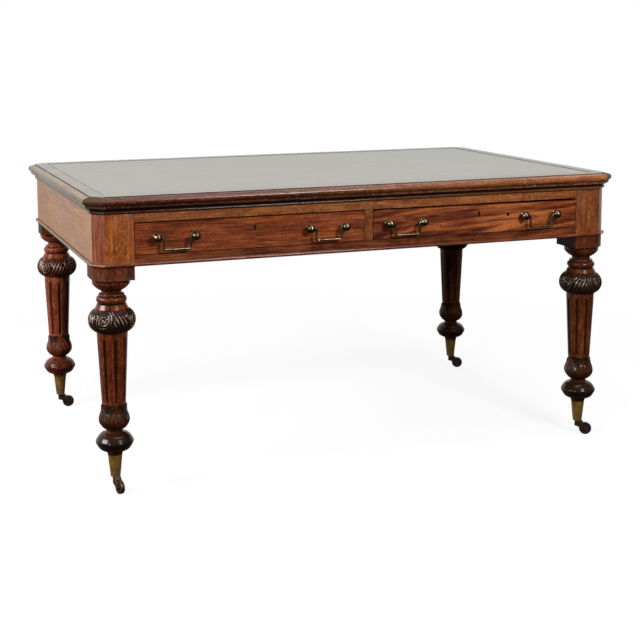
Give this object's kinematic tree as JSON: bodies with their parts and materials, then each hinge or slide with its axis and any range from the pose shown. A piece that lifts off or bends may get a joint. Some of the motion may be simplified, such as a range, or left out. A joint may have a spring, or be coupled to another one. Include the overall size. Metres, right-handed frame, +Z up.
{
  "type": "partners desk",
  "caption": "Antique mahogany partners' writing table with inset leather top, frieze drawers on both long sides, and turned, fluted and carved legs on brass castors.",
  "frame": {"origin": "on the floor under the middle of the table", "axes": "+X along the length, +Z up, the pictured long front faces -Y"},
  "size_m": [1.5, 0.9676, 0.762],
  "materials": {
    "mahogany_frame": "old polished mahogany",
    "mahogany_leg": "dark polished mahogany",
    "mahogany_moulding": "dark polished mahogany",
    "mahogany_panel": "faded polished mahogany",
    "mahogany_drawer": "figured red mahogany",
    "lining_timber": "unpolished secondary timber",
    "leather": "worn olive grey hide",
    "handle_brass": "antique brass",
    "castor_brass": "dull brass",
    "castor_iron": "dark worn metal",
    "lock_brass": "dull brass"
  },
  "bodies": {
    "desk": {"top_panel": "lining_timber", "leather_inset": "leather", "top_border": "mahogany_frame", "top_edge": "mahogany_moulding", "cornice_moulding": "mahogany_moulding", "bead_moulding": "mahogany_moulding", "centre_stiles": "mahogany_frame", "left_end_panel": "mahogany_panel", "right_end_panel": "mahogany_panel", "centre_partition": "lining_timber", "drawer_runners": "lining_timber", "castor_cups": "castor_brass", "front_top_rail": "mahogany_frame", "front_bottom_rail": "mahogany_frame", "back_top_rail": "mahogany_frame", "back_bottom_rail": "mahogany_frame", "front_left_leg": "mahogany_leg", "front_right_leg": "mahogany_leg", "back_left_leg": "mahogany_leg", "back_right_leg": "mahogany_leg"},
    "front_left_drawer": {"front_left_drawer_face": "mahogany_drawer", "front_left_drawer_box": "lining_timber", "front_left_drawer_bottom": "lining_timber", "front_left_handle_posts": "handle_brass", "front_left_lock": "lock_brass"},
    "front_left_bail_a": {"front_left_bail_a": "handle_brass"},
    "front_left_bail_b": {"front_left_bail_b": "handle_brass"},
    "front_left_lock_bolt": {"front_left_lock_bolt": "lock_brass"},
    "front_left_castor": {"front_left_castor_fork": "castor_iron"},
    "front_left_wheel": {"front_left_castor_wheel": "castor_iron"},
    "front_right_drawer": {"front_right_drawer_face": "mahogany_drawer", "front_right_drawer_box": "lining_timber", "front_right_drawer_bottom": "lining_timber", "front_right_handle_posts": "handle_brass", "front_right_lock": "lock_brass"},
    "front_right_bail_a": {"front_right_bail_a": "handle_brass"},
    "front_right_bail_b": {"front_right_bail_b": "handle_brass"},
    "front_right_lock_bolt": {"front_right_lock_bolt": "lock_brass"},
    "front_right_castor": {"front_right_castor_fork": "castor_iron"},
    "front_right_wheel": {"front_right_castor_wheel": "castor_iron"},
    "back_left_drawer": {"back_left_drawer_face": "mahogany_drawer", "back_left_drawer_box": "lining_timber", "back_left_drawer_bottom": "lining_timber", "back_left_handle_posts": "handle_brass", "back_left_lock": "lock_brass"},
    "back_left_bail_a": {"back_left_bail_a": "handle_brass"},
    "back_left_bail_b": {"back_left_bail_b": "handle_brass"},
    "back_left_lock_bolt": {"back_left_lock_bolt": "lock_brass"},
    "back_left_castor": {"back_left_castor_fork": "castor_iron"},
    "back_left_wheel": {"back_left_castor_wheel": "castor_iron"},
    "back_right_drawer": {"back_right_drawer_face": "mahogany_drawer", "back_right_drawer_box": "lining_timber", "back_right_drawer_bottom": "lining_timber", "back_right_handle_posts": "handle_brass", "back_right_lock": "lock_brass"},
    "back_right_bail_a": {"back_right_bail_a": "handle_brass"},
    "back_right_bail_b": {"back_right_bail_b": "handle_brass"},
    "back_right_lock_bolt": {"back_right_lock_bolt": "lock_brass"},
    "back_right_castor": {"back_right_castor_fork": "castor_iron"},
    "back_right_wheel": {"back_right_castor_wheel": "castor_iron"}
  },
  "joints": [
    {"name": "front_left_drawer_slide", "type": "slide", "parent": "desk", "child": "front_left_drawer", "axis": [0, -1, 0], "range_m": [0, 0.3]},
    {"name": "front_left_bail_a_swing", "type": "hinge", "parent": "front_left_drawer", "child": "front_left_bail_a", "pos_m": [-0.52243, -0.4725, 0.6565], "axis": [-1, 0, 0], "range_deg": [-27, 120]},
    {"name": "front_left_bail_b_swing", "type": "hinge", "parent": "front_left_drawer", "child": "front_left_bail_b", "pos_m": [-0.11957, -0.4725, 0.6565], "axis": [-1, 0, 0], "range_deg": [-27, 120]},
    {"name": "front_left_lock_bolt_shoot", "type": "slide", "parent": "front_left_drawer", "child": "front_left_lock_bolt", "axis": [0, 0, 1], "range_m": [0, 0.006]},
    {"name": "front_left_castor_swivel", "type": "hinge", "parent": "desk", "child": "front_left_castor", "pos_m": [-0.677, -0.4045, 0.041], "axis": [0, 0, 1], "continuous": true},
    {"name": "front_left_wheel_roll", "type": "hinge", "parent": "front_left_castor", "child": "front_left_wheel", "pos_m": [-0.67105, -0.42672, 0.0175], "axis": [0.9659, 0.2588, 0], "continuous": true},
    {"name": "front_right_drawer_slide", "type": "slide", "parent": "desk", "child": "front_right_drawer", "axis": [0, -1, 0], "range_m": [0, 0.3]},
    {"name": "front_right_bail_a_swing", "type": "hinge", "parent": "front_right_drawer", "child": "front_right_bail_a", "pos_m": [0.10357, -0.4725, 0.6565], "axis": [-1, 0, 0], "range_deg": [-27, 120]},
    {"name": "front_right_bail_b_swing", "type": "hinge", "parent": "front_right_drawer", "child": "front_right_bail_b", "pos_m": [0.50643, -0.4725, 0.6565], "axis": [-1, 0, 0], "range_deg": [-27, 120]},
    {"name": "front_right_lock_bolt_shoot", "type": "slide", "parent": "front_right_drawer", "child": "front_right_lock_bolt", "axis": [0, 0, 1], "range_m": [0, 0.006]},
    {"name": "front_right_castor_swivel", "type": "hinge", "parent": "desk", "child": "front_right_castor", "pos_m": [0.677, -0.4045, 0.041], "axis": [0, 0, 1], "continuous": true},
    {"name": "front_right_wheel_roll", "type": "hinge", "parent": "front_right_castor", "child": "front_right_wheel", "pos_m": [0.69629, -0.41703, 0.0175], "axis": [0.5446, 0.8387, 0], "continuous": true},
    {"name": "back_left_drawer_slide", "type": "slide", "parent": "desk", "child": "back_left_drawer", "axis": [0, 1, 0], "range_m": [0, 0.3]},
    {"name": "back_left_bail_a_swing", "type": "hinge", "parent": "back_left_drawer", "child": "back_left_bail_a", "pos_m": [-0.11757, 0.4725, 0.6565], "axis": [1, 0, 0], "range_deg": [-27, 120]},
    {"name": "back_left_bail_b_swing", "type": "hinge", "parent": "back_left_drawer", "child": "back_left_bail_b", "pos_m": [-0.52043, 0.4725, 0.6565], "axis": [1, 0, 0], "range_deg": [-27, 120]},
    {"name": "back_left_lock_bolt_shoot", "type": "slide", "parent": "back_left_drawer", "child": "back_left_lock_bolt", "axis": [0, 0, 1], "range_m": [0, 0.006]},
    {"name": "back_left_castor_swivel", "type": "hinge", "parent": "desk", "child": "back_left_castor", "pos_m": [-0.677, 0.4045, 0.041], "axis": [0, 0, 1], "continuous": true},
    {"name": "back_left_wheel_roll", "type": "hinge", "parent": "back_left_castor", "child": "back_left_wheel", "pos_m": [-0.65428, 0.4009, 0.0175], "axis": [0.1564, 0.9877, 0], "continuous": true},
    {"name": "back_right_drawer_slide", "type": "slide", "parent": "desk", "child": "back_right_drawer", "axis": [0, 1, 0], "range_m": [0, 0.3]},
    {"name": "back_right_bail_a_swing", "type": "hinge", "parent": "back_right_drawer", "child": "back_right_bail_a", "pos_m": [0.52043, 0.4725, 0.6565], "axis": [1, 0, 0], "range_deg": [-27, 120]},
    {"name": "back_right_bail_b_swing", "type": "hinge", "parent": "back_right_drawer", "child": "back_right_bail_b", "pos_m": [0.11757, 0.4725, 0.6565], "axis": [1, 0, 0], "range_deg": [-27, 120]},
    {"name": "back_right_lock_bolt_shoot", "type": "slide", "parent": "back_right_drawer", "child": "back_right_lock_bolt", "axis": [0, 0, 1], "range_m": [0, 0.006]},
    {"name": "back_right_castor_swivel", "type": "hinge", "parent": "desk", "child": "back_right_castor", "pos_m": [0.677, 0.4045, 0.041], "axis": [0, 0, 1], "continuous": true},
    {"name": "back_right_wheel_roll", "type": "hinge", "parent": "back_right_castor", "child": "back_right_wheel", "pos_m": [0.69749, 0.39406, 0.0175], "axis": [0.454, 0.891, 0], "continuous": true}
  ]
}
